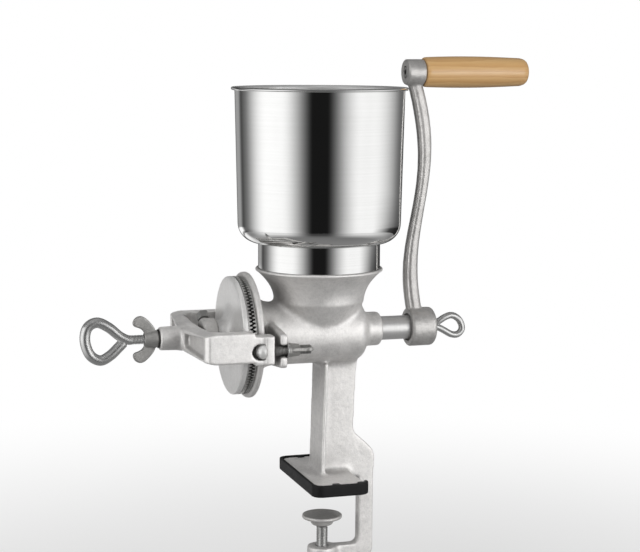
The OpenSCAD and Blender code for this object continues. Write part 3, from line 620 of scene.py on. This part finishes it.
def seat_lip():
    """Thin turned lip of the casting round the hopper's collar."""
    r0 = COLLAR_R + 0.45
    bead = arc(53.15, SEAT_TOP - 1.3, 1.3, -100, 100, 14) + [(r0, SEAT_TOP - 0.1), (r0, SEAT_TOP - 2.8)]
    me = Build().lathe(bead, UPRIGHT, 192).mesh("seat_lip", 50)
    place("seat_lip", me, "frame", "cast_grey", CAST_FINE)


# Burr plates and their carrier

def toothed(name, node, body, back, way, phase, teeth=96, r_in=33.0):
    """Burr plate with radial teeth: back face at a station, teeth toward the other plate."""
    thick, depth = 3.4, 2.2
    tip = [(0.0, 1.0), (0.30, 1.0), (0.44, 0.08), (0.56, 0.0), (0.86, 0.08)]
    rings = []
    for i in range(teeth):
        for at, high in tip:
            a = 2 * math.pi * (i + at + phase) / teeth
            x = thick - depth * (1 - high)
            ring = [(r_in, x - 0.25), (r_in + 0.4, x), (BURR_R - 0.45, x), (BURR_R, x - 0.4), (BURR_R, 0.35),
                    (BURR_R - 0.4, 0.0), (BURR_HOLE_R, 0.0), (BURR_HOLE_R, 1.0), (BURR_HOLE_R + 0.3, 1.2),
                    (r_in - 0.02, 1.2)]
            rings.append([(back + way * s, r * math.cos(a), AXIS_Z + r * math.sin(a)) for r, s in ring])
    place(name, Build().rings(rings, loop=True).mesh(name, 30), body, "burr_iron", BURR, node)


def carrier():
    """Smooth disc that flares into its stem."""
    trumpet = [(13 + 17 * (1 - math.sin(math.radians(a))), CARRIER_X0 - 10 * (1 - math.cos(math.radians(a))))
               for a in np.linspace(4, 90, 20)]
    outline = [(CARRIER_HOLE_R, CARRIER_X1), (BURR_R - 0.6, CARRIER_X1), (BURR_R - 0.1, CARRIER_X1 - 0.4),
               (BURR_R, CARRIER_X1 - 1.0), (BURR_R, CARRIER_X0 + 1.2)]
    outline += arc(BURR_R - 1.2, CARRIER_X0 + 1.2, 1.2, 0, -90, 6)[1:]
    outline += [(46.0, CARRIER_X0 - 0.03), (40.0, CARRIER_X0 + 0.02), (34.0, CARRIER_X0)] + trumpet
    outline += [(13.0, STEM_END + 1.2)] + arc(11.8, STEM_END + 1.2, 1.2, 0, -90, 5)[1:]
    outline += [(CARRIER_HOLE_R, STEM_END)]
    me = Build().lathe(outline, along_x(), 144).mesh("carrier_disc", 50)
    place("carrier_disc", me, "rotor", "cast_grey", CAST_DISC_LIT, "burr_carrier")


# Screws, bolts and washers

def eye_of(points, shift=(0, 0, 0), turn=None):
    """Rod eye drawn in the XZ plane, placed with a turn and a shift."""
    line = spline([Vector((x, y, z)) for x, y, z in points])
    return [(turn @ p if turn else p) + Vector(shift) for p in line]


def adjusting_screw():
    """Thread through the yoke, then the rod is bent round to an eye."""
    rod = Build()
    rod.thread(4.0, 0.7, 1.25, 106.1, 166.0, along_x() @ Matrix.Rotation(math.pi, 4, "X"), 2.0, 3.0)
    eye = [(-163, 0, 0), (-166.5, 0, 0.3), (-173.2, 0, 3.8), (-182.2, 0, 11.4), (-191.7, 0, 15.8),
           (-199.6, 0, 11.8), (-201.9, 0, 1.4), (-197.9, 0, -10.8), (-189.5, 0, -16.0), (-181.2, 0, -12.4),
           (-173.6, 0.4, -5.6), (-170.2, 0.8, -2.4)]
    rod.sweep(eye_of(eye, (0, 0, AXIS_Z)), (3.85, 4.4))
    me = rod.mesh("adjusting_screw_rod")
    place("adjusting_screw_rod", me, "adjuster", "bright_steel", BRIGHT, "adjusting_screw")


def crank_screw():
    """Short thread and collar, bent to a small eye."""
    rod = Build()
    rod.thread(3.0, 0.5, 1.0, 87.1, 103.6, along_x(), 2.0, 3.0)
    rod.lathe([(2.2, 103.4), (2.9, 103.4), (4.9, 104.0), (5.2, 104.3), (5.2, 105.4), (4.8, 105.8),
               (3.0, 106.2), (2.2, 106.2)], along_x(), 40)
    eye = [(102, 0, 0), (106.2, 0, -0.4), (111.6, 0, -2.4), (116.7, 0, -5.2), (122.4, 0, -8.3),
           (128.0, 0, -8.8), (132.0, 0, -5.4), (132.2, 0, -0.6), (129.6, 0, 4.4), (125.4, 0, 7.6),
           (121.0, 0, 8.5), (115.8, 0, 6.8), (111.6, 0.4, 4.2), (109.6, 0.8, 3.0)]
    rod.sweep(eye_of(eye, (0, 0, AXIS_Z)), 2.9)
    me = rod.mesh("crank_screw_rod")
    place("crank_screw_rod", me, "crank_thumbscrew", "bright_steel", BRIGHT, "crank_screw")


def clamp_screw():
    """Thread through the frame, a plain tip in the pad and an eye below."""
    rod, at = Build(), Matrix.Translation((CLAMP_X, 0, 0))
    rod.thread(5.0, 0.75, 1.5, -104.0, -40.0, at, 3.0, 1.0)
    rod.lathe([(0, -41.5), (3.6, -41.5), (3.6, -34.7), (3.0, -34.1), (0, -34.1)], at, 40, loop=False)
    eye = [(-100, 0, 0), (-106, 0, 0), (-113.0, 0, 1.8), (-121.5, 0, 8.6), (-132.0, 0, 16.2),
           (-142.2, 0, 13.8), (-149.4, 0, 4.6), (-149.0, 0, -6.6), (-141.6, 0, -15.4), (-131.2, 0, -15.4),
           (-123.0, 0, -9.6), (-117.2, 0.4, -5.0)]
    rod.sweep(eye_of(eye, (CLAMP_X, 0, 0), Matrix.Rotation(-math.pi / 2, 3, "Y")), 4.2)
    me = rod.mesh("clamp_screw_rod")
    place("clamp_screw_rod", me, "clamp_spindle", "bright_steel", BRIGHT, "clamp_screw")


def thrust_ball():
    """Ball ground a hair under its seat, at the solid's middle."""
    node = NODES["thrust_ball"]
    x = sum((node.matrix_world @ Vector(c) for c in node.bound_box), Vector()).x / 8 / MM
    outline = [(0.0, x - BALL_R)]
    outline += [(BALL_R * math.sin(a), x - BALL_R * math.cos(a)) for a in np.linspace(0.12, 3.02, 28)]
    outline += [(0.0, x + BALL_R)]
    me = Build().lathe(outline, along_x(), 56, loop=False).mesh("thrust_ball_ground")
    place("thrust_ball_ground", me, "thrust", "bright_steel", BRIGHT, "thrust_ball")


def yoke_bolts():
    """Domed heads and threaded studs; the lighter heads and darker studs of one bolt are painted light and
    shade.
    """
    heads, studs = Build(), Build()
    dome = [(BOLT_HEAD_R * math.cos(math.radians(a)), -1.5 - 6.0 * math.sin(math.radians(a)))
            for a in np.linspace(84, 0, 12)]
    head = [(0.0, -7.5)] + dome + [(BOLT_HEAD_R, -0.3), (BOLT_HEAD_R - 0.3, 0.0), (0.0, 0.0)]
    for y in (-BOLT_Y, BOLT_Y):
        at = along_x(WALL_X0, y, BOLT_Z)
        heads.lathe(head, at, 48, loop=False)
        studs.thread(BOLT_R, 0.62, 1.25, -0.5, LUG_X1 + 21 - WALL_X0, at, 1.0, 1.0)
    # painted light and shade: lighter material on the heads, darker on the studs that lie in shade
    place("yoke_bolt_heads", heads.mesh("yoke_bolt_heads"), "frame", "bright_steel", LIT_HEAD)
    place("yoke_bolt_studs", studs.mesh("yoke_bolt_studs"), "frame", "bright_steel", BOLT, "yoke_bolts")


def washer(name, node, body, slot, material, x, y, z, r0, r1, t):
    """Stamped ring, its outer corner rolled on one side."""
    c = min(0.35, t / 3)
    outline = [(r0 + c, x), (r1 - 0.15, x), (r1, x + 0.15), (r1, x + t - c), (r1 - c * 0.4, x + t - c * 0.3),
               (r1 - c, x + t), (r0 + 0.15, x + t), (r0, x + t - 0.15), (r0, x + c)]
    place(name, Build().lathe(outline, along_x(0, y, z), 56).mesh(name, 50), body, slot, material, node)


def grip():
    """Turned grip, fuller in the middle and at its end, with a hollow for its nut."""
    r, x0, x1 = GRIP_R, GRIP_X0, GRIP_X0 + GRIP_LEN
    skin = [(r * (0.86 + 0.14 * math.sin(math.radians(40 + 125 * u))), x0 + 2 + (GRIP_LEN - 8) * u)
            for u in np.linspace(0.01, 1, 44)]
    outline = [(GRIP_HOLE_R, x0), (r * 0.86, x0), (r * 0.91, x0 + 0.4), (r * 0.94, x0 + 1.2)] + skin
    outline += [(r * 0.87, x1 - 4.2), (r * 0.82, x1 - 2.2), (r * 0.74, x1 - 0.7), (r * 0.66, x1)]
    outline += [(GRIP_HOLLOW_R + 0.2, x1), (GRIP_HOLLOW_R, x1 - 0.3), (GRIP_HOLLOW_R, x1 - GRIP_HOLLOW),
                (GRIP_HOLE_R, x1 - GRIP_HOLLOW)]
    me = Build().lathe(outline, along_x(0, 0, GRIP_Z), 96).mesh("grip_wood", 50)
    place("grip_turned", me, "handle", "grip_wood", WOOD, "grip")


hopper_cup()
hopper_collar()
seat_lip()
toothed("fixed_plate", "fixed_burr", "frame", FLANGE_X0, -1, 0.0)
toothed("moving_plate", "moving_burr", "rotor", CARRIER_X1, 1, 0.5)
carrier()
adjusting_screw()
crank_screw()
clamp_screw()
thrust_ball()
yoke_bolts()
washer("lock_ring_washer", "lock_washer", "lock_ring", "dark_steel", DARK, LOCK_X, 0, AXIS_Z,
       WASHER_HOLE_R, 8.0, 1.2)
for side, y in (("front", -BOLT_Y), ("rear", BOLT_Y)):
    washer(side + "_ring_washer", side + "_washer", side + "_ring", "bright_steel", BRIGHT, LUG_X1, y, BOLT_Z,
           WASHER_HOLE_R, 6.8, 1.6)
washer("grip_ring_washer", "grip_washer", "crank", "bright_steel", BRIGHT,
       GRIP_X0 + GRIP_LEN - GRIP_HOLLOW, 0, GRIP_Z, GRIP_HOLE_R, 7.0, 1.2)
grip()

# Solids that show as they are
for node, slot, material in (("auger", "turned_steel", TURNED), ("fixed_burr_screws", "dark_steel", DARK),
                             ("moving_burr_screws", "dark_steel", DARK), ("grip_bolt", "bright_steel", BOLT),
                             ("grip_nut", "dark_steel", DARK)):
    ob = NODES[node]
    ob.data.materials.clear()
    ob.data.materials.append(material)


# Stage, in metres: floor, soft boxes that show only in reflections, lamps, camera

FLOOR_DROP = 0.018
FLOOR_R = 14.0
STUDIO_R = 1.0
STUDIO_TOP = 1.6

# Soft boxes: turns in degrees at which each one's light starts, is full, starts to fade and ends
LEFT_BOX = (-140, -92, -70, -26)
RIGHT_BOX = (-8, 40, 56, 124)
BACK_BOX = (-8, 10, 20, 34)
BOX_GLOW = 1.03
ROOM_GLOW = (0.01, 0.15)
WALL_GREY = (0.2, 0.2, 0.2)

# Photograph's view, in millimetres and in pixels of the photograph
CAMERA_AT = (-431.59, -1358.63, 374.14)
CAMERA_AIM = (0.86, -0.27, 179.73)
CAMERA_ROLL = 0.31
FOCAL_PX = 1681.65
PHOTO_WIDTH = 640
SENSOR = 36.0


def shown_to_eye(nt):
    """1 for camera, glossy and transmission rays."""
    lp = nt.nodes.new("ShaderNodeLightPath")
    last = lp.outputs["Is Camera Ray"]
    for other in ("Is Glossy Ray", "Is Transmission Ray"):
        n = nt.nodes.new("ShaderNodeMath")
        n.operation = "MAXIMUM"
        nt.links.new(last, n.inputs[0])
        nt.links.new(lp.outputs[other], n.inputs[1])
        last = n.outputs[0]
    return last


def stage_disc(name, radius, z):
    """Flat round mesh at a height."""
    bm = bmesh.new()
    bmesh.ops.create_circle(bm, cap_ends=True, segments=96, radius=radius)
    me = bpy.data.meshes.new(name)
    bm.to_mesh(me)
    bm.free()
    ob = link(name, me)
    ob.location.z = z
    return ob


def floor():
    """Pale floor that keeps the shadow and fades to white far out."""
    ob = stage_disc("floor", FLOOR_R, cad_low.z - FLOOR_DROP)
    p = Paint("pale_floor", Roughness=0.75, Base_Color=(0.86, 0.86, 0.855, 1))
    fade = p.span(p.distance(), 0.2, 1.1, 0.5, 1.0, soft=True)
    glow = p.node("Emission", Color=(1, 1, 1, 1), Strength=1.0).outputs[0]
    mix = p.node("MixShader", i0=p.math("MULTIPLY", fade, shown_to_eye(p.nt)), i1=p.b.outputs[0], i2=glow)
    p.show(mix.outputs[0])
    ob.data.materials.append(p.m)
    ob.visible_diffuse = False


def soft_box(p, turn, box):
    start, full, fade, end = (math.radians(a) for a in box)
    rise = p.span(turn, start, full, 0.0, 1.0, soft=True)
    fall = p.span(turn, fade, end, 1.0, 0.0, soft=True)
    return p.math("MULTIPLY", p.math("MULTIPLY", rise, fall), BOX_GLOW)


def studio_glow(p, xyz):
    """Glow of the studio by direction, and that turn: 0 is the front, and the left is below 0."""
    x, y = xyz[0], xyz[1]
    turn = p.math("ARCTAN2", x, p.math("MULTIPLY", y, -1.0))
    from_behind = p.math("ARCTAN2", p.math("MULTIPLY", x, -1.0), y)
    glow = p.span(p.math("ABSOLUTE", turn), math.radians(40), math.radians(100), *ROOM_GLOW)
    for box, at in ((LEFT_BOX, turn), (RIGHT_BOX, turn), (BACK_BOX, from_behind)):
        glow = p.math("ADD", glow, soft_box(p, at, box))
    return glow, turn


def only_mirrored(ob, p, color, strength):
    """Finishes a glowing piece of the studio that shows only in reflections."""
    p.show(p.node("Emission", Color=color, Strength=strength).outputs[0])
    ob.data.materials.append(p.m)
    ob.visible_camera = ob.visible_diffuse = ob.visible_shadow = ob.visible_transmission = False


def studio_ring(sides=180):
    """Upright ring with the soft boxes on it and a grey wall above them."""
    bm = bmesh.new()
    turns = [2 * math.pi * i / sides for i in range(sides)]
    low, top = ([bm.verts.new((STUDIO_R * math.sin(t), -STUDIO_R * math.cos(t), z)) for t in turns]
                for z in (cad_low.z + 0.001, STUDIO_TOP))
    for i in range(sides):
        k = (i + 1) % sides
        bm.faces.new((low[i], top[i], top[k], low[k]))
    me = bpy.data.meshes.new("panel_ring")
    bm.to_mesh(me)
    bm.free()
    p = Paint("panels")
    xyz = p.node("SeparateXYZ", Vector=p.place).outputs
    z = xyz[2]
    tone, turn = studio_glow(p, xyz)
    tone = p.mix(p.span(z, 0.5, 0.56, 0.0, 1.0), tone, WALL_GREY)
    # on the crank's side the soft box ends above the floor
    aside = p.span(turn, math.radians(62), math.radians(98), 0.0, 0.88)
    foot = p.math("MULTIPLY", aside, p.span(z, 0.04, 0.15, 1.0, 0.0))
    # behind the mill the box is a low strip, and dim above and below it
    behind = p.span(p.math("ABSOLUTE", turn), math.radians(138), math.radians(150), 0.0, 0.7)
    strip = p.math("MULTIPLY", p.span(z, -0.1, -0.06, 0.0, 1.0), p.span(z, 0.035, 0.065, 1.0, 0.0))
    dim = p.math("MULTIPLY", behind, p.math("SUBTRACT", 1.0, strip))
    lit = p.math("MULTIPLY", p.math("SUBTRACT", 1.0, foot), p.math("SUBTRACT", 1.0, dim))
    only_mirrored(link("panel_ring", me), p, tone, lit)


def low_card():
    """Card under the mill, lighter to the back; far out it takes up the soft boxes."""
    p = Paint("low_card_grey")
    xyz = p.node("SeparateXYZ", Vector=p.place).outputs
    tone = p.ramp(p.span(xyz[1], -1.0, 1.0, 0.0, 1.0), (0.2, 0.16), (0.5, 0.24), (0.9, 0.6))
    tone = p.mix(p.span(p.distance(), 0.4, 0.7, 0.0, 0.7), tone, studio_glow(p, xyz)[0])
    only_mirrored(stage_disc("low_card", STUDIO_R, cad_low.z + 0.0006), p, tone, 1.0)


def high_card():
    """Grey card over the mill."""
    p = Paint("high_card_grey")
    tone = p.ramp(p.distance(), (0.2, 0.34), (0.9, 0.24))
    only_mirrored(stage_disc("high_card", STUDIO_R, STUDIO_TOP), p, tone, 1.0)


def lamp(name, at, aim, size, watts):
    """Round soft lamp, aimed at a point."""
    data = bpy.data.lights.new(name, "AREA")
    data.shape, data.size, data.energy = "DISK", size, watts
    ob = bpy.data.objects.new(name, data)
    ob.location = at
    ob.rotation_mode = "QUATERNION"
    ob.rotation_quaternion = (Vector(aim) - Vector(at)).to_track_quat("-Z", "Y")
    bpy.context.scene.collection.objects.link(ob)


def world():
    """White to the eye, and a low even light on the mill."""
    w = bpy.data.worlds.new("studio")
    bpy.context.scene.world = w
    w.use_nodes = True
    nt = w.node_tree
    sky, white = nt.nodes["Background"], nt.nodes.new("ShaderNodeBackground")
    for shade, strength in ((sky, 0.15), (white, 1.0)):
        shade.inputs["Color"].default_value = (1, 1, 1, 1)
        shade.inputs["Strength"].default_value = strength
    mix = nt.nodes.new("ShaderNodeMixShader")
    for i, socket in enumerate((shown_to_eye(nt), sky.outputs[0], white.outputs[0])):
        nt.links.new(socket, mix.inputs[i])
    nt.links.new(mix.outputs[0], nt.nodes["World Output"].inputs["Surface"])


def camera():
    """Long lens, turned to the burr side and a little above the mill."""
    eye, aim, roll = Vector(CAMERA_AT) * MM, Vector(CAMERA_AIM) * MM, math.radians(CAMERA_ROLL)
    back = (eye - aim).normalized()
    right = Vector((0, 0, 1)).cross(back).normalized()
    up = back.cross(right)
    right, up = right * math.cos(roll) + up * math.sin(roll), up * math.cos(roll) - right * math.sin(roll)
    data = bpy.data.cameras.new("camera")
    data.sensor_width, data.lens = SENSOR, SENSOR * FOCAL_PX / PHOTO_WIDTH
    data.clip_start, data.clip_end = 0.05, 60.0
    ob = bpy.data.objects.new("camera", data)
    ob.matrix_world = Matrix.Translation(eye) @ Matrix((right, up, back)).transposed().to_4x4()
    bpy.context.scene.collection.objects.link(ob)
    bpy.context.scene.camera = ob


floor()
studio_ring()
low_card()
high_card()
lamp("key", (0.95, -1.78, 0.32), (0, 0, 0.15), 1.3, 25.0)
lamp("side", (-1.75, -0.55, 0.35), (0, 0, 0.13), 1.2, 13.0)
lamp("top", (-0.9, -1.0, 1.7), (0, 0, 0.18), 1.0, 8.0)
lamp("fill", (1.5, -0.9, 0.9), (0, 0, 0.15), 1.1, 2.0)
lamp("rim", (0.3, 1.6, 1.4), (0, 0, 0.15), 1.0, 5.0)
world()
camera()
bpy.context.scene.view_settings.view_transform = "Standard"
